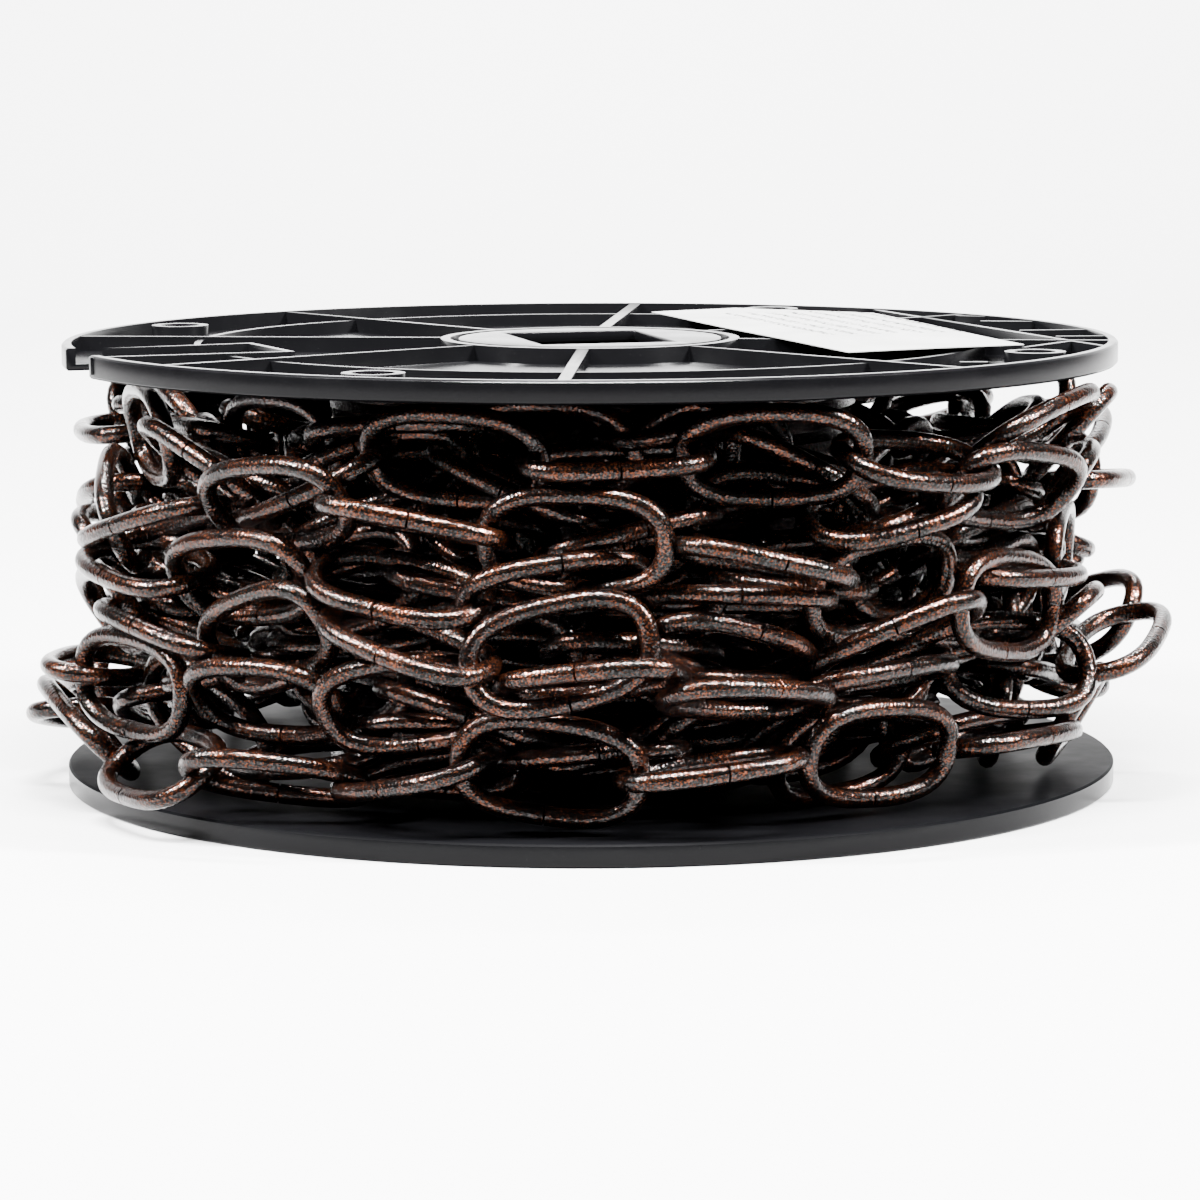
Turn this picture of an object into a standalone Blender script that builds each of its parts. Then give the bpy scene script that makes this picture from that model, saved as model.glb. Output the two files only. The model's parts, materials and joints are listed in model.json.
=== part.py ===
"""A plastic reel wound full with oval steel chain, lying on its lower flange.

Metres, +Z up. The origin is on the reel's axis at the level the reel stands on.
Bearings are degrees to the right of the front, and the front faces -Y.
"""
import math
import random

import bmesh
import bpy
import numpy as np
from mathutils import Matrix, Vector

MM = 0.001

# Reel
REEL_HEIGHT = 84.0
FLANGE_RADIUS = 100.0
FLANGE_DEPTH = 4.2
PLATE = 1.2
RIM_WALL = 1.8
RIB = 1.2
WIDE_RIB = 2.2
RING_RIB_RADIUS = 74.5
HUB_RING_OUT = 28.4
HUB_RING_IN = 26.6
SPIGOT_RADIUS = 25.0
BARREL_RADIUS = 29.0
BARREL_WALL = 2.0
ARBOR_WIDTH = 26.0
ARBOR_LENGTH = 31.0
ARBOR_TURN = 14.5
GAP = 0.3
ROUND_STEPS = 54
DRUM_STEPS = 36

# Chain link, bent from round wire
WIRE = 3.5
LINK_LENGTH = 35.0
LINK_WIDTH = 20.5
LINK_POINTS = 10
WIRE_SIDES = 5
SECTION_SCALE = 1.015

# Winding
WRAP_RADIUS = 90.0
CORE_RADIUS = 75.5
LINK_STEP = 18.0
CHAIN_END_BEARING = -105.0
SEAT_OVERLAP = 0.72
ARC_LINKS = 5
DIVE = ("chain_wrap_5_a", "chain_wrap_5_b")
SETTLE_STEPS = 1300
PULL = 0.1
PULL_UNTIL = 0.55
OVER_PUSH = 1.7
JOINT_WEIGHT = 8.0
SETTLE_CLEARANCE = 0.6

FRONT_WRAPS = [
    # bearing, height, climb, roll, radius of each link across the front
    [(-90, 10.6, 0, 80, 96), (-72, 14.7, -14, 15, 94), (-54, 11.2, -4, -12, 92),
     (-36, 14.5, 0, 64, 89), (-18, 12.3, -4, 80, 88), (0, 19.2, 0, 6, 91), (18, 18.1, 2, 82, 87),
     (38, 18.1, 2, 4, 91), (56.5, 13.3, 0, 75, 89), (75, 16.9, 5, 8, 97)],
    [(-73, 20.4, 0, 75, 93), (-57, 25.0, -3, 0, 93), (-39, 24.0, 4, 40, 88), (-19.5, 27.1, -6, -4, 90),
     (0, 31.7, 0, 80, 90), (18, 23.0, 2, 66, 89), (35.5, 30.6, 14, 80, 88), (54, 23.8, 0, 0, 90),
     (72, 26.2, 6, 84, 103)],
    [(-74, 33.4, 0, 10, 93), (-59, 32.8, -3, 70, 90), (-41, 31.9, 0, 34, 91), (-22.5, 39.3, 0, 84, 88),
     (-5, 38.2, 0, 0, 92), (14.5, 42.1, 0, 56, 91), (33, 35.0, 2, 90, 86), (51, 38.2, -6, 16, 93),
     (69.5, 34.4, 8, 60, 97)],
    [(-74, 47.4, -4, 36, 92), (-57, 48.4, -14, 72, 90), (-39, 51.6, -4, 24, 92),
     (-20, 53.4, -2, -38, 90), (-2, 50.3, 4, 42, 89), (17, 45.6, 0, 80, 86), (34.5, 46.1, 0, 6, 92),
     (54, 42.0, 0, 72, 90), (71, 43.7, 0, 0, 96)],
    [(-54, 54.7, -16, 70, 93), (-36, 65.7, -3, 14, 92), (-17, 63.9, 2, 80, 89),
     (-2.5, 61.1, -6, 12, 95), (17, 51.6, 0, 66, 93), (34, 57.0, 12, 84, 91), (53, 58.6, -10, 16, 91),
     (70, 56.1, -18, 30, 96)],
    [(-70, 67.6, 18, 34, 92), (-51, 68.9, -4, 66, 93), (-35, 69.3, 2, 80, 84),
     (-17.5, 73.9, -4, 12, 89), (2, 70.3, 0, 84, 84), (19, 69.3, 3, 32, 88), (37, 68.9, 2, -28, 90),
     (56, 74.8, 14, 70, 92), (73, 66.0, -30, 22, 95)],
]


def clear_scene():
    for thing in list(bpy.data.objects):
        bpy.data.objects.remove(thing, do_unlink=True)


def material(name, colour, roughness, metallic=0.0):
    made = bpy.data.materials.new(name)
    made.use_nodes = True
    shader = made.node_tree.nodes["Principled BSDF"]
    shader.inputs["Base Color"].default_value = (*colour, 1.0)
    shader.inputs["Roughness"].default_value = roughness
    shader.inputs["Metallic"].default_value = metallic
    return made


def add_object(name, mesh, finish=None):
    thing = bpy.data.objects.new(name, mesh)
    bpy.context.scene.collection.objects.link(thing)
    if finish:
        mesh.materials.append(finish)
    return thing


def mesh_from(name, bm):
    bmesh.ops.recalc_face_normals(bm, faces=bm.faces)
    mesh = bpy.data.meshes.new(name)
    bm.to_mesh(mesh)
    bm.free()
    mesh.shade_smooth()
    mesh.set_sharp_from_angle(angle=math.radians(35))
    return mesh


def turned(bm, profile, steps=ROUND_STEPS):
    """Spin a closed (radius, height) outline in millimetres about the Z axis."""
    corners = [bm.verts.new((r * MM, 0, z * MM)) for r, z in profile]
    loop = [bm.edges.new((corners[i], corners[(i + 1) % len(corners)])) for i in range(len(corners))]
    bmesh.ops.spin(bm, geom=corners + loop, cent=(0, 0, 0), axis=(0, 0, 1), angle=math.tau,
                   steps=steps, use_merge=True, use_duplicate=False)


def block(bm, length, width, low, high, place):
    """Add a box from z low to high, its length along X, then move it by a matrix in metres."""
    size = Matrix.Diagonal((length * MM, width * MM, (high - low) * MM, 1))
    lift = Matrix.Translation((0, 0, (low + high) / 2 * MM))
    bmesh.ops.create_cube(bm, size=1, matrix=place @ lift @ size)


def between(start, end):
    """A matrix that lays a block's X axis from start to end, and the distance, in millimetres."""
    run = Vector(end) - Vector(start)
    middle = (Vector(start) + Vector(end)) / 2
    turn = Matrix.Rotation(math.atan2(run.y, run.x), 4, "Z")
    return Matrix.Translation((middle.x * MM, middle.y * MM, 0)) @ turn, run.length


def polar(radius, degrees):
    return (radius * math.cos(math.radians(degrees)), radius * math.sin(math.radians(degrees)))


def combine(target, other, operation):
    """Apply a Boolean with another object and delete that object."""
    change = target.modifiers.new(operation.title(), "BOOLEAN")
    change.operation = operation
    change.solver = "EXACT"
    change.use_self = True
    change.object = other
    graph = bpy.context.evaluated_depsgraph_get()
    mesh = bpy.data.meshes.new_from_object(target.evaluated_get(graph), depsgraph=graph)
    target.modifiers.clear()
    old = target.data
    target.data = mesh
    bpy.data.meshes.remove(old)
    bpy.data.objects.remove(other, do_unlink=True)


# Flange

RIB_ANGLES = [39.5, 84.5, 129.5, 175.0, 219.5, 267.5, 312.0, 354.5]
WIDE_RIBS = (84.5, 267.5)
BOSS_RADIUS = 89.5
BOSS_ANGLES = [65.3, 155.3, 245.3, 335.3]
BOSS_OUT = 5.6
BOSS_IN = 3.8
SLOT_WALLS = [((-95.0, -24.5), (-64.0, -9.8)), ((-64.0, -9.8), (-55.0, -30.5)), ((-55.0, -30.5), (-90.0, -43.0))]
SLOT_CUT = [(-104.0, -27.0), (-67.0, -12.5), (-59.5, -30.2), (-104.0, -46.5)]
CHORD_RIB = ((58.5, 79.0), (95.5, -23.0))
SHORT_RIBS = [((74.8, 59.5), (79.5, 57.0)), ((78.5, 44.0), (87.5, 42.5)), ((84.0, 18.0), (97.0, 19.5)),
              ((89.5, 2.0), (98.0, 2.5)), ((80.5, -25.5), (90.0, -11.0))]
CLIP_PLACE = (68.5, -58.0)


def flange_plate():
    bm = bmesh.new()
    top = FLANGE_DEPTH
    rim_in = FLANGE_RADIUS - RIM_WALL
    edge = 0.4
    turned(bm, [(SPIGOT_RADIUS + GAP + 0.5, 0), (FLANGE_RADIUS - edge, 0), (FLANGE_RADIUS, edge),
                (FLANGE_RADIUS, top - edge), (FLANGE_RADIUS - edge, top), (rim_in, top), (rim_in, PLATE),
                (RING_RIB_RADIUS + RIB / 2, PLATE), (RING_RIB_RADIUS + RIB / 2, top - 0.6),
                (RING_RIB_RADIUS - RIB / 2, top - 0.6), (RING_RIB_RADIUS - RIB / 2, PLATE),
                (HUB_RING_OUT, PLATE), (HUB_RING_OUT, top), (HUB_RING_IN, top), (HUB_RING_IN, PLATE),
                (SPIGOT_RADIUS + GAP + 0.5, PLATE)])
    return add_object("flange_plate", mesh_from("flange_plate", bm))


def flange_ribs():
    bm = bmesh.new()
    low = PLATE - 0.3
    high = FLANGE_DEPTH - 0.1
    for angle in RIB_ANGLES:
        width = WIDE_RIB if angle in WIDE_RIBS else RIB
        inner = polar(HUB_RING_OUT - 0.6, angle)
        outer = polar(FLANGE_RADIUS - 0.9, angle)
        place, length = between(inner, outer)
        block(bm, length, width, low, high, place)
    for start, end in [CHORD_RIB, *SLOT_WALLS, *SHORT_RIBS]:
        place, length = between(start, end)
        block(bm, length + RIB, RIB, low - 0.05, high - 0.07, place)
    block(bm, 5.0, 1.6, low - 0.1, high - 0.2, Matrix.Translation((CLIP_PLACE[0] * MM, CLIP_PLACE[1] * MM, 0)))
    return add_object("flange_ribs", mesh_from("flange_ribs", bm))


def flange_bosses():
    bm = bmesh.new()
    for angle in BOSS_ANGLES:
        x, y = polar(BOSS_RADIUS, angle)
        bmesh.ops.create_cone(bm, cap_ends=True, segments=12, radius1=BOSS_OUT * MM, radius2=BOSS_OUT * MM,
                              depth=(FLANGE_DEPTH - 0.9) * MM,
                              matrix=Matrix.Translation((x * MM, y * MM, (FLANGE_DEPTH + 0.9 - 0.1) / 2 * MM)))
    return add_object("flange_bosses", mesh_from("flange_bosses", bm))


def boss_bores():
    bm = bmesh.new()
    for angle in BOSS_ANGLES:
        x, y = polar(BOSS_RADIUS, angle)
        bmesh.ops.create_cone(bm, cap_ends=True, segments=12, radius1=BOSS_IN * MM, radius2=BOSS_IN * MM,
                              depth=4.0 * MM, matrix=Matrix.Translation((x * MM, y * MM, (PLATE + 2.1) * MM)))
    return add_object("boss_bores", mesh_from("boss_bores", bm))


def slot_cutter():
    bm = bmesh.new()
    corners = [bm.verts.new((x * MM, y * MM, -2 * MM)) for x, y in SLOT_CUT]
    face = bm.faces.new(corners)
    raised = bmesh.ops.extrude_face_region(bm, geom=[face])
    lift = [v for v in raised["geom"] if isinstance(v, bmesh.types.BMVert)]
    bmesh.ops.translate(bm, verts=lift, vec=(0, 0, 10 * MM))
    return add_object("slot_cutter", mesh_from("slot_cutter", bm))


def flange_mesh():
    """One flange with its flat side at z 0 and its ribs above."""
    body = flange_plate()
    combine(body, flange_ribs(), "UNION")
    combine(body, flange_bosses(), "UNION")
    combine(body, boss_bores(), "DIFFERENCE")
    combine(body, slot_cutter(), "DIFFERENCE")
    mesh = body.data
    bpy.data.objects.remove(body, do_unlink=True)
    mesh.shade_smooth()
    mesh.set_sharp_from_angle(angle=math.radians(35))
    return mesh


def build_flanges(plastic):
    mesh = flange_mesh()
    upper = add_object("upper_flange", mesh, plastic)
    upper.location.z = (REEL_HEIGHT - FLANGE_DEPTH) * MM
    lower = add_object("lower_flange", mesh.copy())
    lower.rotation_euler = (math.pi, 0, math.radians(-75))
    lower.location.z = FLANGE_DEPTH * MM


# Barrel

def build_barrel(plastic):
    """The drum between the flanges; its spigots fill the hub rings flush with the ribs."""
    bm = bmesh.new()
    low = FLANGE_DEPTH + GAP
    high = REEL_HEIGHT - FLANGE_DEPTH - GAP
    inner = BARREL_RADIUS - BARREL_WALL
    cap = BARREL_WALL
    turned(bm, [(0.5, 0), (SPIGOT_RADIUS, 0), (SPIGOT_RADIUS, low), (BARREL_RADIUS, low), (BARREL_RADIUS, high),
                (SPIGOT_RADIUS, high), (SPIGOT_RADIUS, REEL_HEIGHT), (0.5, REEL_HEIGHT),
                (0.5, REEL_HEIGHT - cap), (SPIGOT_RADIUS - cap, REEL_HEIGHT - cap),
                (SPIGOT_RADIUS - cap, high - cap), (inner, high - cap), (inner, low + cap),
                (SPIGOT_RADIUS - cap, low + cap), (SPIGOT_RADIUS - cap, cap), (0.5, cap)], DRUM_STEPS)
    barrel = add_object("barrel", mesh_from("barrel", bm), plastic)
    cut = bmesh.new()
    turn = Matrix.Rotation(math.radians(ARBOR_TURN), 4, "Z")
    block(cut, ARBOR_WIDTH, ARBOR_LENGTH, -5, REEL_HEIGHT + 5, turn)
    combine(barrel, add_object("arbor_cutter", mesh_from("arbor_cutter", cut)), "DIFFERENCE")
    barrel.data.shade_smooth()
    barrel.data.set_sharp_from_angle(angle=math.radians(35))


# Label

LABEL_CORNERS = [(12.5, 66.0), (30.0, 80.0), (57.5, 62.0), (80.5, -24.0), (47.0, -41.5)]
LABEL_THICKNESS = 0.35


def build_label(paper):
    """The paper sheet that lies on the upper flange's ribs."""
    bm = bmesh.new()
    low = REEL_HEIGHT
    corners = [bm.verts.new((x * MM, y * MM, low * MM)) for x, y in LABEL_CORNERS]
    face = bm.faces.new(corners)
    raised = bmesh.ops.extrude_face_region(bm, geom=[face])
    lift = [v for v in raised["geom"] if isinstance(v, bmesh.types.BMVert)]
    bmesh.ops.translate(bm, verts=lift, vec=(0, 0, LABEL_THICKNESS * MM))
    add_object("label", mesh_from("label", bm), paper)


# Chain

def link_outline():
    """Points of the wire's centre line: two round ends, five points each, and straight sides."""
    end = (LINK_WIDTH - WIRE) / 2
    reach = (LINK_LENGTH - WIRE) / 2 - end
    spread = 1.03
    points = []
    for side in (1, -1):
        for angle in (-86, -43, 0, 43, 86):
            a = math.radians(angle)
            points.append((side * (reach + end * spread * math.cos(a)), side * end * spread * math.sin(a), 0))
    rest = np.array(points)
    rest[[2, 7]] *= 1 / spread ** 0.5
    return rest


def wrap_plan(number, rolls):
    """Bearing, height, climb, roll and radius of each link, once round to the next wrap's first link."""
    front = FRONT_WRAPS[number]
    last = front[-1]
    top = number + 1 == len(FRONT_WRAPS)
    goal = (CHAIN_END_BEARING, last[1]) if top else FRONT_WRAPS[number + 1][0]
    span = goal[0] + 360 - last[0]
    extra = round(span / LINK_STEP) - 1
    plan = list(front)
    edge_on = last[3] > 45
    for i in range(1, extra + 1):
        t = i / (extra + 1)
        edge_on = not edge_on
        roll = (82 if edge_on else 8) + rolls.uniform(-16, 16)
        height = last[1] * (1 - t) + goal[1] * t + rolls.uniform(-1.5, 1.5)
        plan.append((last[0] + t * span, height, rolls.uniform(-6, 6), roll,
                     WRAP_RADIUS + rolls.uniform(-0.5, 2.5)))
    return plan


def link_pose(bearing, height, climb, roll, radius):
    """Centre and axes of a link: along the wrap, across it, and its face's normal."""
    b = math.radians(bearing)
    out = np.array([math.sin(b), -math.cos(b), 0.0])
    along = np.array([math.cos(b), math.sin(b), 0.0])
    up = np.array([0.0, 0.0, 1.0])
    c = math.radians(climb)
    x_axis = math.cos(c) * along + math.sin(c) * up
    flat = math.cos(c) * up - math.sin(c) * along
    r = math.radians(roll)
    y_axis = math.cos(r) * flat + math.sin(r) * out
    z_axis = np.cross(x_axis, y_axis)
    return radius * out + height * up, np.stack([x_axis, y_axis, z_axis], axis=1)


def nearest(p1, q1, p2, q2):
    """Closest points of paired segments, as fractions along each."""
    d1, d2, r = q1 - p1, q2 - p2, p1 - p2
    a = np.sum(d1 * d1, -1)
    e = np.sum(d2 * d2, -1)
    f = np.sum(d2 * r, -1)
    c = np.sum(d1 * r, -1)
    b = np.sum(d1 * d2, -1)
    spread = a * e - b * b
    s = np.where(spread > 1e-9, np.clip((b * f - c * e) / np.maximum(spread, 1e-9), 0, 1), 0.5)
    t = np.clip((b * s + f) / e, 0, 1)
    s = np.clip((b * t - c) / a, 0, 1)
    return s, t


def turned_by(frames, spins):
    """Turn each frame by its small rotation vector."""
    angle = np.linalg.norm(spins, axis=1)
    axis = spins / np.maximum(angle, 1e-12)[:, None]
    k = np.zeros((len(spins), 3, 3))
    k[:, 0, 1], k[:, 0, 2], k[:, 1, 2] = -axis[:, 2], axis[:, 1], -axis[:, 0]
    k[:, 1, 0], k[:, 2, 0], k[:, 2, 1] = axis[:, 2], -axis[:, 1], axis[:, 0]
    s, c = np.sin(angle)[:, None, None], np.cos(angle)[:, None, None]
    turn = np.eye(3) + s * k + (1 - c) * (k @ k)
    return turn @ frames


class Settler:
    """Pushes rigid links apart until they touch, keeps them linked and inside the reel."""
    ARM = 11.0

    def __init__(self, centres, frames, joined, apart):
        self.x, self.frames = centres.copy(), frames.copy()
        self.goal_x, self.goal_frames = centres.copy(), frames.copy()
        self.joined = joined
        self.apart = apart
        self.rest = link_outline()
        self.low = FLANGE_DEPTH + WIRE / 2 + SETTLE_CLEARANCE
        self.high = REEL_HEIGHT - FLANGE_DEPTH - WIRE / 2 - SETTLE_CLEARANCE

    def points(self):
        return self.x[:, None, :] + np.einsum("nij,kj->nki", self.frames, self.rest)

    def push(self, who, at, move, weight=1.0):
        """Record a wish to move the point at of link who by the vector move."""
        arm = at - self.x[who]
        size = np.linalg.norm(move, axis=1)
        way = move / np.maximum(size, 1e-12)[:, None]
        lever = np.cross(arm, way) / self.ARM ** 2
        give = 1 + np.sum(np.cross(arm, way) ** 2, axis=1) / self.ARM ** 2
        size = size * weight
        share = (size * size / weight / give)[:, None]
        np.add.at(self.dx, who, share * way)
        np.add.at(self.dw, who, share * lever)
        np.add.at(self.count, who, size)

    def near_pairs(self):
        gaps = np.linalg.norm(self.x[:, None] - self.x[None], axis=2)
        i, j = np.nonzero(np.triu(gaps < LINK_LENGTH + 3, 1))
        return i, j

    def contacts(self, pts, i, j):
        """Push apart every two stretches of wire that come too near each other."""
        after = np.roll(pts, -1, axis=1)
        middle = (pts + after) / 2
        half = np.linalg.norm(self.rest - np.roll(self.rest, -1, axis=0), axis=1) / 2
        reach = half[:, None] + half[None, :] + WIRE + SETTLE_CLEARANCE
        apart = np.linalg.norm(middle[i][:, :, None] - middle[j][:, None, :], axis=3)
        pair, a, b = np.nonzero(apart < reach)
        i, j = i[pair], j[pair]
        p1, q1, p2, q2 = pts[i, a], after[i, a], pts[j, b], after[j, b]
        s, t = nearest(p1, q1, p2, q2)
        c1 = p1 + s[:, None] * (q1 - p1)
        c2 = p2 + t[:, None] * (q2 - p2)
        gap = c1 - c2
        dist = np.maximum(np.linalg.norm(gap, axis=1), 1e-6)
        short = self.apart[i, j] - dist
        hit = np.nonzero(short > 0)[0]
        move = gap[hit] * (short[hit] / dist[hit] / 2)[:, None]
        self.push(i[hit], c1[hit], move)
        self.push(j[hit], c2[hit], -move)

    def links(self, pts):
        first, second = self.joined
        e = pts[first, 2]
        s = pts[second, 7]
        gap = e - s
        dist = np.maximum(np.linalg.norm(gap, axis=1), 1e-6)
        want = self.apart[first, second]
        move = gap * ((want - dist) / dist / 2)[:, None]
        self.push(first, e, move, JOINT_WEIGHT)
        self.push(second, s, -move, JOINT_WEIGHT)

    def walls(self, pts):
        flat = pts.reshape(-1, 3)
        who = np.repeat(np.arange(len(self.x)), LINK_POINTS)
        lift = np.maximum(self.low - flat[:, 2], 0) - np.maximum(flat[:, 2] - self.high, 0)
        hit = np.nonzero(lift)[0]
        self.push(who[hit], flat[hit], np.outer(lift[hit], (0, 0, 1)))
        reach = np.linalg.norm(flat[:, :2], axis=1)
        short = CORE_RADIUS + WIRE / 2 + SETTLE_CLEARANCE - reach
        hit = np.nonzero(short > 0)[0]
        out = flat[hit].copy()
        out[:, 2] = 0
        self.push(who[hit], flat[hit], out * (short[hit] / reach[hit])[:, None])

    def pull(self, strength):
        self.x += strength * (self.goal_x - self.x)
        turn = self.goal_frames @ np.transpose(self.frames, (0, 2, 1))
        spin = np.stack([turn[:, 2, 1] - turn[:, 1, 2], turn[:, 0, 2] - turn[:, 2, 0],
                         turn[:, 1, 0] - turn[:, 0, 1]], axis=1) / 2
        self.frames = turned_by(self.frames, spin * strength)

    def run(self, steps):
        i, j = self.near_pairs()
        for step in range(steps):
            if step % 20 == 0:
                i, j = self.near_pairs()
            self.dx = np.zeros_like(self.x)
            self.dw = np.zeros_like(self.x)
            self.count = np.zeros(len(self.x))
            pts = self.points()
            self.contacts(pts, i, j)
            self.links(pts)
            self.walls(pts)
            share = (OVER_PUSH / np.maximum(self.count, 1e-6))[:, None]
            self.x += self.dx * share
            self.frames = turned_by(self.frames, self.dw * share)
            self.pull(PULL * max(0.0, 1 - step / steps / PULL_UNTIL) ** 2)
            self.x = np.round(self.x, 4)
            self.frames = np.round(self.frames, 6)


def wind_chain():
    """Centres, frames and node names of the outer layer's links, and which of them are linked.

    At DIVE the chain passes under the layer, so those two arcs aren't linked there.
    """
    rolls = random.Random(11)
    centres, frames, names = [], [], []
    for number in range(len(FRONT_WRAPS)):
        for at, place in enumerate(wrap_plan(number, rolls)):
            centre, frame = link_pose(*place)
            centres.append(centre)
            frames.append(frame)
            names.append(f"chain_wrap_{number + 1}_{'abcde'[at // ARC_LINKS]}")
    count = len(names)
    first = np.array([k for k in range(count - 1) if (names[k], names[k + 1]) != DIVE])
    second = first + 1
    apart = np.full((count, count), WIRE + SETTLE_CLEARANCE)
    for a, b in zip(first, second):
        if names[a] == names[b]:
            apart[a, b] = apart[b, a] = WIRE - SEAT_OVERLAP
    return np.array(centres), np.array(frames), names, (first, second), apart


def link_mesh(bm, centre, frame, outline):
    """Sweep the five-sided wire round one link, an edge of its section facing the hole."""
    count = len(outline)
    radius = WIRE / 2 * SECTION_SCALE
    rings = []
    for k in range(count):
        ahead = outline[(k + 1) % count] - outline[k]
        behind = outline[k] - outline[k - 1]
        ahead = ahead / np.linalg.norm(ahead)
        behind = behind / np.linalg.norm(behind)
        tangent = ahead + behind
        tangent /= np.linalg.norm(tangent)
        side = np.array([-tangent[1], tangent[0], 0.0])
        stretch = 1 / max(0.5, float(ahead @ tangent))
        ring = []
        for n in range(WIRE_SIDES):
            a = math.tau * n / WIRE_SIDES
            local = outline[k] + radius * (math.cos(a) * side * stretch + math.sin(a) * np.array([0, 0, 1.0]))
            ring.append(bm.verts.new((centre + frame @ local) * MM))
        rings.append(ring)
    for k in range(count):
        here, there = rings[k], rings[(k + 1) % count]
        for n in range(WIRE_SIDES):
            m = (n + 1) % WIRE_SIDES
            bm.faces.new((here[n], here[m], there[m], there[n]))


def drop_bubbles(mesh):
    """Remove the small sealed hollows that a union leaves where two faceted wires press together."""
    bm = bmesh.new()
    bm.from_mesh(mesh)
    seen, small = set(), []
    for start in bm.verts:
        if start in seen:
            continue
        seen.add(start)
        island = [start]
        for v in island:
            for edge in v.link_edges:
                other = edge.other_vert(v)
                if other not in seen:
                    seen.add(other)
                    island.append(other)
        if len(island) < LINK_POINTS * WIRE_SIDES / 2:
            small += island
    bmesh.ops.delete(bm, geom=small, context="VERTS")
    bm.to_mesh(mesh)
    bm.free()


def build_chain(bronze):
    centres, frames, names, joined, apart = wind_chain()
    settler = Settler(centres, frames, joined, apart)
    settler.run(SETTLE_STEPS)
    outline = link_outline()
    for name in dict.fromkeys(names):
        members = [k for k, n in enumerate(names) if n == name]
        arc = None
        for k in members:
            bm = bmesh.new()
            link_mesh(bm, settler.x[k], settler.frames[k], outline)
            piece = add_object(name if arc is None else "link", mesh_from(name, bm), bronze)
            if arc is None:
                arc = piece
            else:
                combine(arc, piece, "UNION")
        drop_bubbles(arc.data)
        arc.data.shade_smooth()
        arc.data.set_sharp_from_angle(angle=math.radians(50))


def build_core(bronze):
    """The hidden inner layers of the winding, as one plain ring."""
    bm = bmesh.new()
    low = FLANGE_DEPTH + GAP
    high = REEL_HEIGHT - FLANGE_DEPTH - GAP
    turned(bm, [(BARREL_RADIUS + GAP, low), (CORE_RADIUS, low), (CORE_RADIUS, high), (BARREL_RADIUS + GAP, high)],
           DRUM_STEPS)
    add_object("chain_inner_layers", mesh_from("chain_inner_layers", bm), bronze)


def main():
    clear_scene()
    plastic = material("black_plastic", (0.02, 0.02, 0.022), 0.35)
    paper = material("label_paper", (0.85, 0.85, 0.84), 0.6)
    bronze = material("bronze_finish", (0.05, 0.035, 0.028), 0.32, 1.0)
    build_flanges(plastic)
    build_barrel(plastic)
    build_label(paper)
    build_core(bronze)
    build_chain(bronze)


if __name__ == "__main__":
    main()
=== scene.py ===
"""Looks of a plastic reel wound full with oval steel chain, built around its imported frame.

The scene is in metres with +Z up and the reel's axis on Z. Bearings are degrees to the right of
the front, which faces -Y. Named sizes are in millimetres and named turns in degrees, unless a
comment says otherwise.
"""
import json
import math
import random

import bmesh
import bpy
import numpy as np
from mathutils import Matrix, Vector

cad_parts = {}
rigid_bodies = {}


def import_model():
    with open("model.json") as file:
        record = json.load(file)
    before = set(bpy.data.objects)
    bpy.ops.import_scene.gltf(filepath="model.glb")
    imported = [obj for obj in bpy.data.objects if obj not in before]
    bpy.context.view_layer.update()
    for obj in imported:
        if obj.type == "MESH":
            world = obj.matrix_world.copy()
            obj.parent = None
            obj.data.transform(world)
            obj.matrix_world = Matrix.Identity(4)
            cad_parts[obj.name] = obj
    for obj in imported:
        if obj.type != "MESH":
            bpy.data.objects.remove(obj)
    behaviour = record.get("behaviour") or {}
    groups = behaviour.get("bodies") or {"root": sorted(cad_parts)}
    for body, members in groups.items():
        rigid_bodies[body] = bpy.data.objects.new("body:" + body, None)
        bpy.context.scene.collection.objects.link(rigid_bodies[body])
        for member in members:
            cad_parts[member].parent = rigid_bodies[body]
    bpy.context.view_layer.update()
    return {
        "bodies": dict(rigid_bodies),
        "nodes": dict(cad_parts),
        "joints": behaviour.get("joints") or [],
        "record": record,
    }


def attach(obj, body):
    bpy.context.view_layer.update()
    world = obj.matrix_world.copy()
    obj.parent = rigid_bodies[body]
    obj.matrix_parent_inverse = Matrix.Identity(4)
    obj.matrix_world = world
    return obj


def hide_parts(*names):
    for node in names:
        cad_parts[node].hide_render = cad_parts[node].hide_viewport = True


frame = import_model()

BODY = "root"
MM = 0.001

# Reel
REEL_HEIGHT = 84.0
FLANGE_RADIUS = 100.0
FLANGE_DEPTH = 4.2
PLATE = 1.2
RIM_WALL = 1.8
RIB = 1.2
WIDE_RIB = 2.2
RING_RIB_RADIUS = 74.5
HUB_RING_OUT = 28.4
HUB_RING_IN = 26.6
SPIGOT_RADIUS = 25.0
BARREL_RADIUS = 29.0
BARREL_WALL = 2.0
ARBOR_WIDTH = 26.0
ARBOR_LENGTH = 31.0
ARBOR_TURN = 14.5
GAP = 0.3
AXIS_RADIUS = 0.5
ROUND_STEPS = 216
COARSE_STEPS = 96
BOSS_STEPS = 40

# Chain link, bent from round wire
WIRE = 3.5
LINK_LENGTH = 35.0
LINK_WIDTH = 20.5
LINK_POINTS = 10
TIPS = (2, 7)
OVAL_POWER = 2.7
SEAM_DEPTH = 0.42
SEAM_WIDTH = 0.22
SEAM_OUT_COSINE = 0.7
OUTLINE_SAMPLES = 1440
TANGENT_REACH = 0.4
OUTER_SIDES = 16
OUTER_STATIONS = 46
INNER_SIDES = 10
INNER_STATIONS = 30

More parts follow.
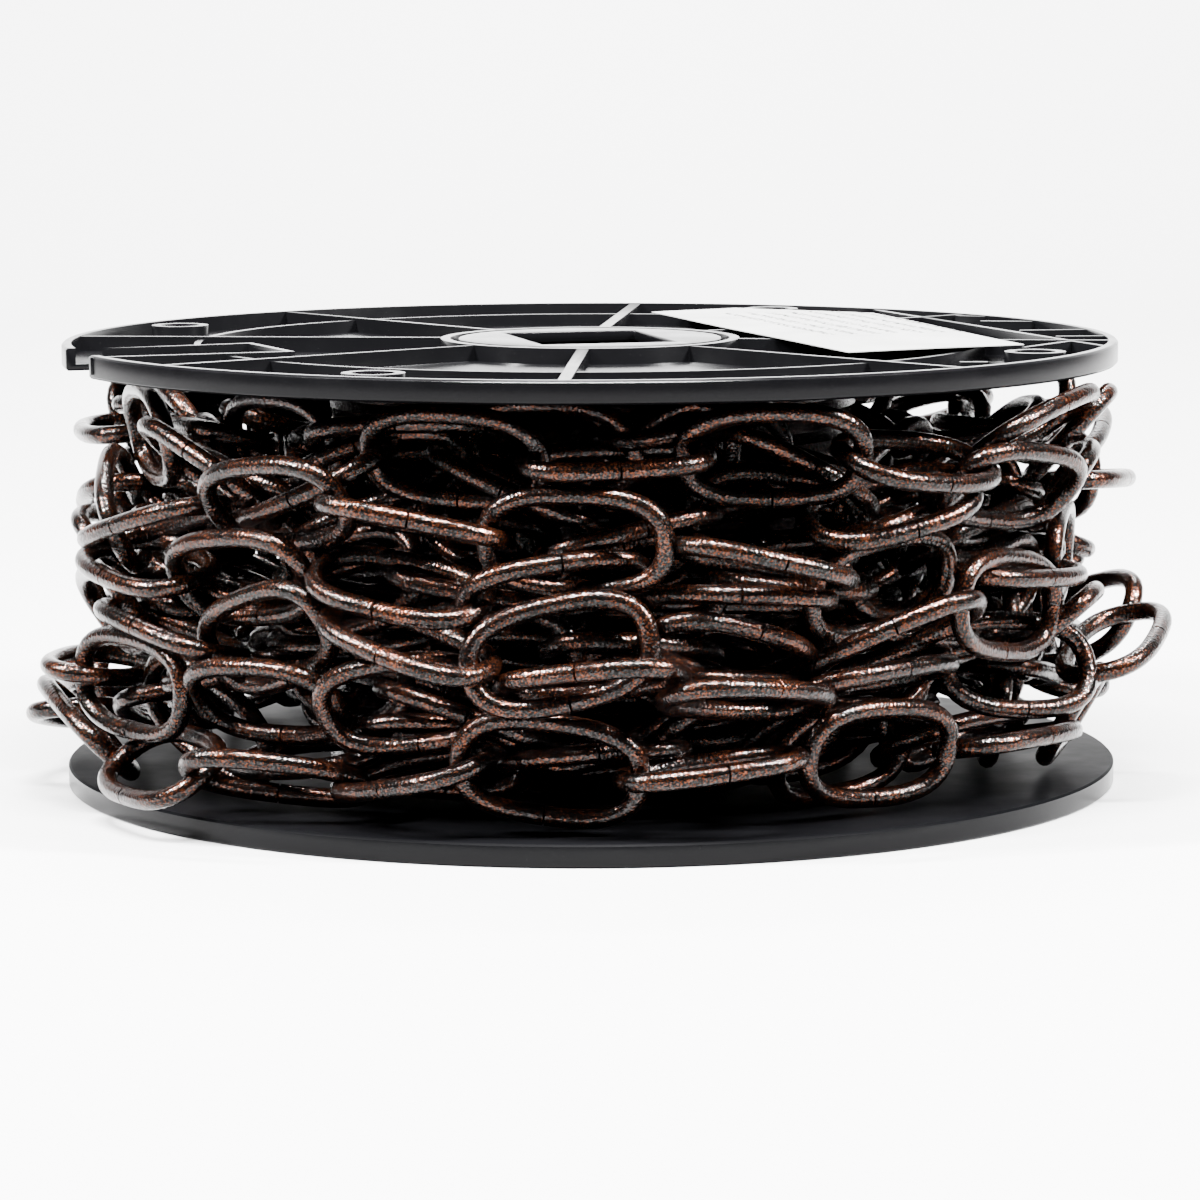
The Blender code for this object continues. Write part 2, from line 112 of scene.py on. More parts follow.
# Outer layer of the winding, and how its links settle
WRAP_RADIUS = 90.0
CORE_RADIUS = 75.5
LINK_STEP = 18.0
CHAIN_END_BEARING = -105.0
SEAT_OVERLAP = 0.72
ARC_LINKS = 5
EDGE_ON_ROLL = 82
FLAT_ROLL = 8
OUTER_ROLL_SPREAD = 16
OUTER_CLIMB_SPREAD = 6
OUTER_HEIGHT_SPREAD = 1.5
OUTER_DEPTH_SPREAD = (-0.5, 2.5)
OUTER_SEED = 11
DIVE = ("chain_wrap_5_a", "chain_wrap_5_b")
SETTLE_STEPS = 1300
PULL = 0.1
PULL_UNTIL = 0.55
OVER_PUSH = 1.7
JOINT_WEIGHT = 8.0
SETTLE_CLEARANCE = 0.6
NEIGHBOUR_ROOM = 3
NEIGHBOUR_STEPS = 20

FRONT_WRAPS = [
    # Bearing, height, climb, roll and radius of each link across the front, wrap by wrap
    [(-90, 10.6, 0, 80, 96), (-72, 14.7, -14, 15, 94), (-54, 11.2, -4, -12, 92),
     (-36, 14.5, 0, 64, 89), (-18, 12.3, -4, 80, 88), (0, 19.2, 0, 6, 91), (18, 18.1, 2, 82, 87),
     (38, 18.1, 2, 4, 91), (56.5, 13.3, 0, 75, 89), (75, 16.9, 5, 8, 97)],
    [(-73, 20.4, 0, 75, 93), (-57, 25.0, -3, 0, 93), (-39, 24.0, 4, 40, 88),
     (-19.5, 27.1, -6, -4, 90), (0, 31.7, 0, 80, 90), (18, 23.0, 2, 66, 89),
     (35.5, 30.6, 14, 80, 88), (54, 23.8, 0, 0, 90), (72, 26.2, 6, 84, 103)],
    [(-74, 33.4, 0, 10, 93), (-59, 32.8, -3, 70, 90), (-41, 31.9, 0, 34, 91),
     (-22.5, 39.3, 0, 84, 88), (-5, 38.2, 0, 0, 92), (14.5, 42.1, 0, 56, 91),
     (33, 35.0, 2, 90, 86), (51, 38.2, -6, 16, 93), (69.5, 34.4, 8, 60, 97)],
    [(-74, 47.4, -4, 36, 92), (-57, 48.4, -14, 72, 90), (-39, 51.6, -4, 24, 92),
     (-20, 53.4, -2, -38, 90), (-2, 50.3, 4, 42, 89), (17, 45.6, 0, 80, 86), (34.5, 46.1, 0, 6, 92),
     (54, 42.0, 0, 72, 90), (71, 43.7, 0, 0, 96)],
    [(-54, 54.7, -16, 70, 93), (-36, 65.7, -3, 14, 92), (-17, 63.9, 2, 80, 89),
     (-2.5, 61.1, -6, 12, 95), (17, 51.6, 0, 66, 93), (34, 57.0, 12, 84, 91),
     (53, 58.6, -10, 16, 91), (70, 56.1, -18, 30, 96)],
    [(-70, 67.6, 18, 34, 92), (-51, 68.9, -4, 66, 93), (-35, 69.3, 2, 80, 84),
     (-17.5, 73.9, -4, 12, 89), (2, 70.3, 0, 84, 84), (19, 69.3, 3, 32, 88), (37, 68.9, 2, -28, 90),
     (56, 74.8, 14, 70, 92), (73, 66.0, -30, 22, 95)],
]

# Hidden layers of links: radius, bearing step and number of wraps of each
INNER_LAYERS = [(77.0, 19.0, 7), (58.0, 27.0, 6)]
INNER_STEPS = 200
INNER_START = 40
INNER_EDGE_ON_ROLL = 80
INNER_FLAT_ROLL = 10
INNER_ROLL_SPREAD = 22
INNER_CLIMB_SPREAD = 10
INNER_PLACE_SPREAD = 2
INNER_CLEARANCE = 0.2
INNER_SEED = 29

# Plain ring behind the hidden layers, and how much smaller the core is that they settle on
HEART_RADIUS = 50.0
HEART_SINK = 4
HEART_ROWS = 40

# Camera
CAMERA_TARGET = (1.77, 0.0, 33.56)
CAMERA_DISTANCE = 900.0
CAMERA_PITCH = 7.40
CAMERA_ROLL = -0.17
CAMERA_LENS = 140.8
CAMERA_SENSOR = 36.0

# Soft boxes: name, place, aim, width and height in metres, and power in watts
SOFT_BOXES = [
    ("top_box", (0.0, -0.38, 1.1), (0, 0, 0.05), 0.7, 0.05, 400.0),
    ("wall_box", (0.0, 0.9, 1.6), (0, 2.1, 0.5), 0.9, 0.3, 840.0),
    ("left_box", (-0.95, -0.34, 0.92), (0, 0, 0.05), 0.06, 0.4, 330.0),
    ("right_box", (0.95, -0.34, 0.92), (0, 0, 0.05), 0.06, 0.4, 330.0),
]
WORLD_LIGHT = 0.2

# Floor sheet and the cove behind it, in metres
FLOOR_HALF_WIDTH = 3.5
FLOOR_FRONT = -3.0
COVE_START = 1.2
COVE_RADIUS = 0.9
COVE_STEPS = 16
WALL_PLACE = 2.1
WALL_TOP = 3.0


# Mesh helpers

def finish_piece(thing, slot, *nodes):
    """Fix a piece to the reel and hide the solids that it stands for."""
    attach(thing, BODY)
    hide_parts(*nodes)


def add_object(name, mesh, finish=None):
    thing = bpy.data.objects.new(name, mesh)
    bpy.context.scene.collection.objects.link(thing)
    if finish:
        mesh.materials.append(finish)
    return thing


def smooth(mesh, degrees=35):
    mesh.shade_smooth()
    mesh.set_sharp_from_angle(angle=math.radians(degrees))


def mesh_from(name, bm, degrees=35):
    bmesh.ops.recalc_face_normals(bm, faces=bm.faces)
    mesh = bpy.data.meshes.new(name)
    bm.to_mesh(mesh)
    bm.free()
    smooth(mesh, degrees)
    return mesh


def turned(bm, profile, steps=ROUND_STEPS):
    """Spin a closed (radius, height) outline in millimetres about the Z axis."""
    corners = [bm.verts.new((r * MM, 0, z * MM)) for r, z in profile]
    loop = [bm.edges.new((a, b)) for a, b in zip(corners, corners[1:] + corners[:1])]
    bmesh.ops.spin(bm, geom=corners + loop, cent=(0, 0, 0), axis=(0, 0, 1), angle=math.tau,
                   steps=steps, use_merge=True, use_duplicate=False)


def block(bm, length, width, low, high, place):
    """Add a box from z low to high, its length along X, then move it by a matrix in metres."""
    size = Matrix.Diagonal((length * MM, width * MM, (high - low) * MM, 1))
    lift = Matrix.Translation((0, 0, (low + high) / 2 * MM))
    bmesh.ops.create_cube(bm, size=1, matrix=place @ lift @ size)


def between(start, end):
    """A matrix that lays a block's X axis from start to end, and the distance, in millimetres."""
    run = Vector(end) - Vector(start)
    middle = (Vector(start) + Vector(end)) / 2
    turn = Matrix.Rotation(math.atan2(run.y, run.x), 4, "Z")
    return Matrix.Translation((middle.x * MM, middle.y * MM, 0)) @ turn, run.length


def polar(radius, degrees):
    """X and Y at a radius and an angle from +X."""
    return (radius * math.cos(math.radians(degrees)), radius * math.sin(math.radians(degrees)))


def combine(target, other, operation):
    """Apply a Boolean with another object and delete that object."""
    change = target.modifiers.new(operation.title(), "BOOLEAN")
    change.operation = operation
    change.solver = "EXACT"
    change.use_self = True
    change.object = other
    graph = bpy.context.evaluated_depsgraph_get()
    mesh = bpy.data.meshes.new_from_object(target.evaluated_get(graph), depsgraph=graph)
    target.modifiers.clear()
    old = target.data
    target.data = mesh
    bpy.data.meshes.remove(old)
    bpy.data.objects.remove(other, do_unlink=True)


# Flange

RIB_ANGLES = [39.5, 84.5, 129.5, 175.0, 219.5, 267.5, 312.0, 354.5]
WIDE_RIBS = (84.5, 267.5)
BOSS_RADIUS = 89.5
BOSS_ANGLES = [65.3, 155.3, 245.3, 335.3]
BOSS_OUT = 5.6
BOSS_IN = 3.8
BOSS_FOOT = 0.9
BOSS_DROP = 0.1
BORE_DEPTH = 4.0
BORE_MIDDLE = 2.1
SLOT_WALLS = [((-95.0, -24.5), (-64.0, -9.8)), ((-64.0, -9.8), (-55.0, -30.5)),
              ((-55.0, -30.5), (-90.0, -43.0))]
SLOT_CUT = [(-104.0, -27.0), (-67.0, -12.5), (-59.5, -30.2), (-104.0, -46.5)]
CHORD_RIB = ((58.5, 79.0), (95.5, -23.0))
SHORT_RIBS = [((74.8, 59.5), (79.5, 57.0)), ((78.5, 44.0), (87.5, 42.5)),
              ((84.0, 18.0), (97.0, 19.5)), ((89.5, 2.0), (98.0, 2.5)),
              ((80.5, -25.5), (90.0, -11.0))]
CLIP_PLACE = (68.5, -58.0)
CLIP_LENGTH = 5.0
CLIP_WIDTH = 1.6
FLANGE_HOLE = SPIGOT_RADIUS + GAP + 0.5
RIM_CHAMFER = 0.4
RING_RIB_DROP = 0.6
RIB_ROOT = 0.3
RIB_DROP = 0.1
SPOKE_IN_HUB = 0.6
SPOKE_IN_RIM = 0.9
FLANGE_EDGE = 0.18
LOWER_FLANGE_TURN = -75


def flange_plate():
    """The disc with its rim, ring rib and hub ring, flat face down."""
    bm = bmesh.new()
    top = FLANGE_DEPTH
    rim_in = FLANGE_RADIUS - RIM_WALL
    ring_out = RING_RIB_RADIUS + RIB / 2
    ring_in = RING_RIB_RADIUS - RIB / 2
    ring_top = top - RING_RIB_DROP
    turned(bm, [(FLANGE_HOLE, 0), (FLANGE_RADIUS - RIM_CHAMFER, 0), (FLANGE_RADIUS, RIM_CHAMFER),
                (FLANGE_RADIUS, top - RIM_CHAMFER), (FLANGE_RADIUS - RIM_CHAMFER, top),
                (rim_in, top), (rim_in, PLATE), (ring_out, PLATE), (ring_out, ring_top),
                (ring_in, ring_top), (ring_in, PLATE), (HUB_RING_OUT, PLATE), (HUB_RING_OUT, top),
                (HUB_RING_IN, top), (HUB_RING_IN, PLATE), (FLANGE_HOLE, PLATE)])
    return add_object("flange_plate", mesh_from("flange_plate", bm))


def flange_ribs():
    """Spokes, slot walls, short ribs and clip, of slightly unlike heights so no faces coincide."""
    bm = bmesh.new()
    low = PLATE - RIB_ROOT
    high = FLANGE_DEPTH - RIB_DROP
    for angle in RIB_ANGLES:
        width = WIDE_RIB if angle in WIDE_RIBS else RIB
        inner = polar(HUB_RING_OUT - SPOKE_IN_HUB, angle)
        outer = polar(FLANGE_RADIUS - SPOKE_IN_RIM, angle)
        place, length = between(inner, outer)
        block(bm, length, width, low, high, place)
    for start, end in [CHORD_RIB, *SLOT_WALLS, *SHORT_RIBS]:
        place, length = between(start, end)
        block(bm, length + RIB, RIB, low - 0.05, high - 0.07, place)
    clip = Matrix.Translation((CLIP_PLACE[0] * MM, CLIP_PLACE[1] * MM, 0))
    block(bm, CLIP_LENGTH, CLIP_WIDTH, low - 0.1, high - 0.2, clip)
    return add_object("flange_ribs", mesh_from("flange_ribs", bm))


def boss_cylinders(name, radius, depth, middle):
    """A cylinder at each tube boss, with its depth and the height of its middle."""
    bm = bmesh.new()
    for angle in BOSS_ANGLES:
        x, y = polar(BOSS_RADIUS, angle)
        bmesh.ops.create_cone(bm, cap_ends=True, segments=BOSS_STEPS, radius1=radius * MM,
                              radius2=radius * MM, depth=depth * MM,
                              matrix=Matrix.Translation((x * MM, y * MM, middle * MM)))
    return add_object(name, mesh_from(name, bm))


def slot_cutter():
    """A prism that cuts the slot for the chain's end right through the flange."""
    bm = bmesh.new()
    below, depth = -2, 10
    corners = [bm.verts.new((x * MM, y * MM, below * MM)) for x, y in SLOT_CUT]
    face = bm.faces.new(corners)
    raised = bmesh.ops.extrude_face_region(bm, geom=[face])
    lift = [v for v in raised["geom"] if isinstance(v, bmesh.types.BMVert)]
    bmesh.ops.translate(bm, verts=lift, vec=(0, 0, depth * MM))
    return add_object("slot_cutter", mesh_from("slot_cutter", bm))


def rounded_edges(target, width):
    """Round every sharp edge a little, as moulded plastic is, and keep the result in the mesh."""
    edge = target.modifiers.new("Edges", "BEVEL")
    edge.width = width * MM
    edge.segments = 2
    edge.limit_method = "ANGLE"
    edge.angle_limit = math.radians(40)
    edge.harden_normals = False
    graph = bpy.context.evaluated_depsgraph_get()
    mesh = bpy.data.meshes.new_from_object(target.evaluated_get(graph), depsgraph=graph)
    target.modifiers.clear()
    target.data = mesh
    smooth(mesh, 45)


def flange_body(name, finish):
    """One whole flange, lying on its flat face with the ribs up."""
    body = flange_plate()
    combine(body, flange_ribs(), "UNION")
    middle = (FLANGE_DEPTH + BOSS_FOOT - BOSS_DROP) / 2
    bosses = boss_cylinders("flange_bosses", BOSS_OUT, FLANGE_DEPTH - BOSS_FOOT, middle)
    combine(body, bosses, "UNION")
    bores = boss_cylinders("boss_bores", BOSS_IN, BORE_DEPTH, PLATE + BORE_MIDDLE)
    combine(body, bores, "DIFFERENCE")
    combine(body, slot_cutter(), "DIFFERENCE")
    rounded_edges(body, FLANGE_EDGE)
    body.name = name
    body.data.materials.clear()
    body.data.materials.append(finish)
    return body


def place_mesh(thing, matrix):
    thing.data.transform(matrix)
    thing.data.update()


def build_flanges(plastic):
    """Two flanges of one moulding, the lower one turned over with its ribs facing down."""
    upper = flange_body("moulded_upper_flange", plastic)
    lower = add_object("moulded_lower_flange", upper.data.copy())
    place_mesh(upper, Matrix.Translation((0, 0, (REEL_HEIGHT - FLANGE_DEPTH) * MM)))
    turn = Matrix.Rotation(math.radians(LOWER_FLANGE_TURN), 4, "Z")
    over = turn @ Matrix.Rotation(math.pi, 4, "X")
    place_mesh(lower, Matrix.Translation((0, 0, FLANGE_DEPTH * MM)) @ over)
    finish_piece(upper, "reel_plastic", "upper_flange")
    finish_piece(lower, "reel_plastic", "lower_flange")


# Barrel

BARREL_EDGE = 0.25
CUT_OVERRUN = 5


def build_barrel(plastic):
    """The drum between the flanges; its spigots fill the hub rings flush with the ribs.

    Its outline stays off the axis by AXIS_RADIUS, where the arbor hole is cut afterwards.
    """
    bm = bmesh.new()
    low = FLANGE_DEPTH + GAP
    high = REEL_HEIGHT - FLANGE_DEPTH - GAP
    inner = BARREL_RADIUS - BARREL_WALL
    cap = BARREL_WALL
    neck = SPIGOT_RADIUS - cap
    turned(bm, [(AXIS_RADIUS, 0), (SPIGOT_RADIUS, 0), (SPIGOT_RADIUS, low), (BARREL_RADIUS, low),
                (BARREL_RADIUS, high), (SPIGOT_RADIUS, high), (SPIGOT_RADIUS, REEL_HEIGHT),
                (AXIS_RADIUS, REEL_HEIGHT), (AXIS_RADIUS, REEL_HEIGHT - cap),
                (neck, REEL_HEIGHT - cap), (neck, high - cap), (inner, high - cap),
                (inner, low + cap), (neck, low + cap), (neck, cap), (AXIS_RADIUS, cap)],
           COARSE_STEPS)
    barrel = add_object("moulded_barrel", mesh_from("moulded_barrel", bm))
    cut = bmesh.new()
    turn = Matrix.Rotation(math.radians(ARBOR_TURN), 4, "Z")
    block(cut, ARBOR_WIDTH, ARBOR_LENGTH, -CUT_OVERRUN, REEL_HEIGHT + CUT_OVERRUN, turn)
    combine(barrel, add_object("arbor_cutter", mesh_from("arbor_cutter", cut)), "DIFFERENCE")
    rounded_edges(barrel, BARREL_EDGE)
    barrel.data.materials.clear()
    barrel.data.materials.append(plastic)
    finish_piece(barrel, "reel_plastic", "barrel")


# Label

LABEL_CORNERS = [(12.5, 66.0), (30.0, 80.0), (57.5, 62.0), (80.5, -24.0), (47.0, -41.5)]
LABEL_LIFT = 0.11
LABEL_SHEET = 0.14
LABEL_SPLITS = 4


def build_label(paper):
    """The paper sheet that lies on the upper flange's ribs, slightly wavy."""
    bm = bmesh.new()
    corners = [bm.verts.new((x * MM, y * MM, 0)) for x, y in LABEL_CORNERS]
    bm.faces.new(corners)
    bmesh.ops.triangulate(bm, faces=bm.faces)
    for _ in range(LABEL_SPLITS):
        bmesh.ops.subdivide_edges(bm, edges=bm.edges, cuts=1, use_grid_fill=True)
        bmesh.ops.triangulate(bm, faces=bm.faces)
    for v in bm.verts:
        x, y = v.co.x / MM, v.co.y / MM
        wave = 0.05 * math.sin(x / 7.0) + 0.04 * math.sin(y / 9.0 + x / 15.0)
        v.co.z = (REEL_HEIGHT + LABEL_LIFT + wave) * MM
    raised = bmesh.ops.extrude_face_region(bm, geom=list(bm.faces))
    lift = [v for v in raised["geom"] if isinstance(v, bmesh.types.BMVert)]
    bmesh.ops.translate(bm, verts=lift, vec=(0, 0, LABEL_SHEET * MM))
    label = add_object("paper_label", mesh_from("paper_label", bm), paper)
    finish_piece(label, "label", "label")


# Chain

def link_outline():
    """Ten points of the wire's centre line, five round each end, for settling.

    They stand a little outside the curve to make up for the chords between them, the tips less so.
    """
    end = (LINK_WIDTH - WIRE) / 2
    reach = (LINK_LENGTH - WIRE) / 2 - end
    spread = 1.03
    points = []
    for side in (1, -1):
        for angle in (-86, -43, 0, 43, 86):
            a = math.radians(angle)
            points.append((side * (reach + end * spread * math.cos(a)),
                           side * end * spread * math.sin(a), 0))
    rest = np.array(points)
    rest[list(TIPS)] *= 1 / spread ** 0.5
    return rest


def wrap_plan(number, rolls):
    """Bearing, height, climb, roll and radius of each link of a wrap, up to the next wrap's first.

    The front is FRONT_WRAPS, and links turned edge on and flat by turns carry it round the back.
    """
    front = FRONT_WRAPS[number]
    last = front[-1]
    top = number + 1 == len(FRONT_WRAPS)
    goal = (CHAIN_END_BEARING, last[1]) if top else FRONT_WRAPS[number + 1][0]
    span = goal[0] + 360 - last[0]
    extra = round(span / LINK_STEP) - 1
    plan = list(front)
    edge_on = last[3] > 45
    for i in range(1, extra + 1):
        t = i / (extra + 1)
        edge_on = not edge_on
        roll = EDGE_ON_ROLL if edge_on else FLAT_ROLL
        roll += rolls.uniform(-OUTER_ROLL_SPREAD, OUTER_ROLL_SPREAD)
        height = last[1] * (1 - t) + goal[1] * t
        height += rolls.uniform(-OUTER_HEIGHT_SPREAD, OUTER_HEIGHT_SPREAD)
        climb = rolls.uniform(-OUTER_CLIMB_SPREAD, OUTER_CLIMB_SPREAD)
        away = WRAP_RADIUS + rolls.uniform(*OUTER_DEPTH_SPREAD)
        plan.append((last[0] + t * span, height, climb, roll, away))
    return plan


def link_pose(bearing, height, climb, roll, radius):
    """Centre and axes of a link: along the wrap, across it, and its face's normal."""
    b = math.radians(bearing)
    out = np.array([math.sin(b), -math.cos(b), 0.0])
    along = np.array([math.cos(b), math.sin(b), 0.0])
    up = np.array([0.0, 0.0, 1.0])
    c = math.radians(climb)
    x_axis = math.cos(c) * along + math.sin(c) * up
    flat = math.cos(c) * up - math.sin(c) * along
    r = math.radians(roll)
    y_axis = math.cos(r) * flat + math.sin(r) * out
    z_axis = np.cross(x_axis, y_axis)
    return radius * out + height * up, np.stack([x_axis, y_axis, z_axis], axis=1)


def nearest(p1, q1, p2, q2):
    """Closest points of paired segments, as fractions along each."""
    d1, d2, r = q1 - p1, q2 - p2, p1 - p2
    a = np.sum(d1 * d1, -1)
    e = np.sum(d2 * d2, -1)
    f = np.sum(d2 * r, -1)
    c = np.sum(d1 * r, -1)
    b = np.sum(d1 * d2, -1)
    spread = a * e - b * b
    s = np.where(spread > 1e-9, np.clip((b * f - c * e) / np.maximum(spread, 1e-9), 0, 1), 0.5)
    t = np.clip((b * s + f) / e, 0, 1)
    s = np.clip((b * t - c) / a, 0, 1)
    return s, t


def turned_by(frames, spins):
    """Turn each frame by its small rotation vector."""
    angle = np.linalg.norm(spins, axis=1)
    axis = spins / np.maximum(angle, 1e-12)[:, None]
    k = np.zeros((len(spins), 3, 3))
    k[:, 0, 1], k[:, 0, 2], k[:, 1, 2] = -axis[:, 2], axis[:, 1], -axis[:, 0]
    k[:, 1, 0], k[:, 2, 0], k[:, 2, 1] = axis[:, 2], -axis[:, 1], axis[:, 0]
    s, c = np.sin(angle)[:, None, None], np.cos(angle)[:, None, None]
    turn = np.eye(3) + s * k + (1 - c) * (k @ k)
    return turn @ frames


class Settler:
    """Pushes rigid links apart, holds linked ones together and keeps all of them inside the reel.

    The first links, as many as still says, stay where they are.
    """
    ARM = 11.0  # lever at which turning a link is as hard as moving it

    def __init__(self, centres, frames, joined, apart):
        self.x, self.frames = centres.copy(), frames.copy()
        self.goal_x, self.goal_frames = centres.copy(), frames.copy()
        self.joined = joined
        self.apart = apart
        self.rest = link_outline()
        self.low = FLANGE_DEPTH + WIRE / 2 + SETTLE_CLEARANCE
        self.high = REEL_HEIGHT - FLANGE_DEPTH - WIRE / 2 - SETTLE_CLEARANCE
        self.core = CORE_RADIUS
        self.still = 0

    def points(self):
        """Each link's ten points where the link now stands."""
        return self.x[:, None, :] + np.einsum("nij,kj->nki", self.frames, self.rest)

    def push(self, who, at, move, weight=1.0):
        """Record a wish to move the point at of link who by the vector move."""
        arm = at - self.x[who]
        size = np.linalg.norm(move, axis=1)
        way = move / np.maximum(size, 1e-12)[:, None]
        lever = np.cross(arm, way) / self.ARM ** 2
        give = 1 + np.sum(np.cross(arm, way) ** 2, axis=1) / self.ARM ** 2
        size = size * weight
        share = (size * size / weight / give)[:, None]
        np.add.at(self.dx, who, share * way)
        np.add.at(self.dw, who, share * lever)
        np.add.at(self.count, who, size)

    def near_pairs(self):
        """Pairs of links near enough to meet, leaving out pairs that both stay put."""
        gaps = np.linalg.norm(self.x[:, None] - self.x[None], axis=2)
        i, j = np.nonzero(np.triu(gaps < LINK_LENGTH + NEIGHBOUR_ROOM, 1))
        free = j >= self.still
        return i[free], j[free]

    def contacts(self, pts, i, j):
        """Push apart every two stretches of wire that come too near each other."""
        after = np.roll(pts, -1, axis=1)
        middle = (pts + after) / 2
        half = np.linalg.norm(self.rest - np.roll(self.rest, -1, axis=0), axis=1) / 2
        reach = half[:, None] + half[None, :] + WIRE + SETTLE_CLEARANCE
        apart = np.linalg.norm(middle[i][:, :, None] - middle[j][:, None, :], axis=3)
        pair, a, b = np.nonzero(apart < reach)
        i, j = i[pair], j[pair]
        p1, q1, p2, q2 = pts[i, a], after[i, a], pts[j, b], after[j, b]
        s, t = nearest(p1, q1, p2, q2)
        c1 = p1 + s[:, None] * (q1 - p1)
        c2 = p2 + t[:, None] * (q2 - p2)
        gap = c1 - c2
        dist = np.maximum(np.linalg.norm(gap, axis=1), 1e-6)
        short = self.apart[i, j] - dist
        hit = np.nonzero(short > 0)[0]
        move = gap[hit] * (short[hit] / dist[hit] / 2)[:, None]
        self.push(i[hit], c1[hit], move)
        self.push(j[hit], c2[hit], -move)

    def links(self, pts):
        """Hold the tips of linked pairs at their set distance."""
        first, second = self.joined
        e = pts[first, TIPS[0]]
        s = pts[second, TIPS[1]]
        gap = e - s
        dist = np.maximum(np.linalg.norm(gap, axis=1), 1e-6)
        want = self.apart[first, second]
        move = gap * ((want - dist) / dist / 2)[:, None]
        self.push(first, e, move, JOINT_WEIGHT)
        self.push(second, s, -move, JOINT_WEIGHT)

    def walls(self, pts):
        """Keep the wire between the flanges and outside the core."""
        flat = pts.reshape(-1, 3)
        who = np.repeat(np.arange(len(self.x)), LINK_POINTS)
        lift = np.maximum(self.low - flat[:, 2], 0) - np.maximum(flat[:, 2] - self.high, 0)
        hit = np.nonzero(lift)[0]
        self.push(who[hit], flat[hit], np.outer(lift[hit], (0, 0, 1)))
        reach = np.linalg.norm(flat[:, :2], axis=1)
        short = self.core + WIRE / 2 + SETTLE_CLEARANCE - reach
        hit = np.nonzero(short > 0)[0]
        out = flat[hit].copy()
        out[:, 2] = 0
        self.push(who[hit], flat[hit], out * (short[hit] / reach[hit])[:, None])

    def pull(self, strength):
        """Draw every link back towards its planned place and turn."""
        self.x += strength * (self.goal_x - self.x)
        turn = self.goal_frames @ np.transpose(self.frames, (0, 2, 1))
        spin = np.stack([turn[:, 2, 1] - turn[:, 1, 2], turn[:, 0, 2] - turn[:, 2, 0],
                         turn[:, 1, 0] - turn[:, 0, 1]], axis=1) / 2
        self.frames = turned_by(self.frames, spin * strength)

    def run(self, steps):
        for step in range(steps):
            if step % NEIGHBOUR_STEPS == 0:
                i, j = self.near_pairs()
            self.dx = np.zeros_like(self.x)
            self.dw = np.zeros_like(self.x)
            self.count = np.zeros(len(self.x))
            pts = self.points()
            self.contacts(pts, i, j)
            self.links(pts)
            self.walls(pts)
            share = (OVER_PUSH / np.maximum(self.count, 1e-6))[:, None]
            share[:self.still] = 0
            self.x += self.dx * share
            self.frames = turned_by(self.frames, self.dw * share)
            self.pull(PULL * max(0.0, 1 - step / steps / PULL_UNTIL) ** 2)
            # Rounded, so that the last digits of a sum can't grow into another result
            self.x = np.round(self.x, 4)
            self.frames = np.round(self.frames, 6)


def wind_chain():
    """Centres, frames and node names of the outer layer's links, and which of them are linked.

    At DIVE the chain passes under the layer, so those two arcs aren't linked there.
    """
    rolls = random.Random(OUTER_SEED)
    centres, frames, names = [], [], []
    for number in range(len(FRONT_WRAPS)):
        for at, place in enumerate(wrap_plan(number, rolls)):
            centre, frame = link_pose(*place)
            centres.append(centre)
            frames.append(frame)
            names.append(f"chain_wrap_{number + 1}_{'abcde'[at // ARC_LINKS]}")
    count = len(names)
    first = np.array([k for k in range(count - 1) if (names[k], names[k + 1]) != DIVE])
    second = first + 1
    apart = np.full((count, count), WIRE + SETTLE_CLEARANCE)
    for a, b in zip(first, second):
        if names[a] == names[b]:
            apart[a, b] = apart[b, a] = WIRE - SEAT_OVERLAP
    return np.array(centres), np.array(frames), names, (first, second), apart


def fine_outline(seam_side, count):
    """The wire's smooth centre line, its direction and its radius, thinner at the butt seam."""
    a, b = (LINK_LENGTH - WIRE) / 2, (LINK_WIDTH - WIRE) / 2
    dense = []
    for t in np.linspace(0, math.tau, OUTLINE_SAMPLES + 1)[:-1]:
        c, s = math.cos(t), math.sin(t)
        dense.append((a * math.copysign(abs(c) ** (2 / OVAL_POWER), c),
                      b * math.copysign(abs(s) ** (2 / OVAL_POWER), s)))
    dense = np.array(dense)
    runs = np.linalg.norm(np.roll(dense, -1, axis=0) - dense, axis=1)
    along = np.concatenate([[0], np.cumsum(runs)])
    total = along[-1]
    closed = np.vstack([dense, dense[:1]])
    seam = total * (0.25 if seam_side > 0 else 0.75)
    spots = [seam + total * k / count for k in range(count)]
    stations = [(seam, WIRE / 2 - SEAM_DEPTH), (seam + SEAM_WIDTH, WIRE / 2),
                (seam - SEAM_WIDTH + total, WIRE / 2)]
    stations += [(s, WIRE / 2) for s in spots[1:]]
    stations = sorted(((s - seam) % total, r) for s, r in stations)
    at = np.array([(s + seam) % total for s, _ in stations])

    def spot(place):
        return np.stack([np.interp(place, along, closed[:, 0]),
                         np.interp(place, along, closed[:, 1])], axis=1)

    points = np.hstack([spot(at), np.zeros((len(at), 1))])
    tangents = spot((at + TANGENT_REACH) % total) - spot((at - TANGENT_REACH) % total)
    tangents /= np.linalg.norm(tangents, axis=1)[:, None]
    return points, tangents, np.array([r for _, r in stations])


def link_rings(outline, centre, frame, sides):
    """World positions of the wire's rings for one link, in metres."""
    points, tangents, radii = outline
    inward = np.stack([-tangents[:, 1], tangents[:, 0], np.zeros(len(points))], axis=1)
    turn = np.arange(sides) * math.tau / sides
    spokes = (np.cos(turn)[None, :, None] * inward[:, None, :]
              + np.sin(turn)[None, :, None] * np.array([0, 0, 1.0]))
    local = points[:, None, :] + radii[:, None, None] * spokes
    return (centre + local @ frame.T) * MM


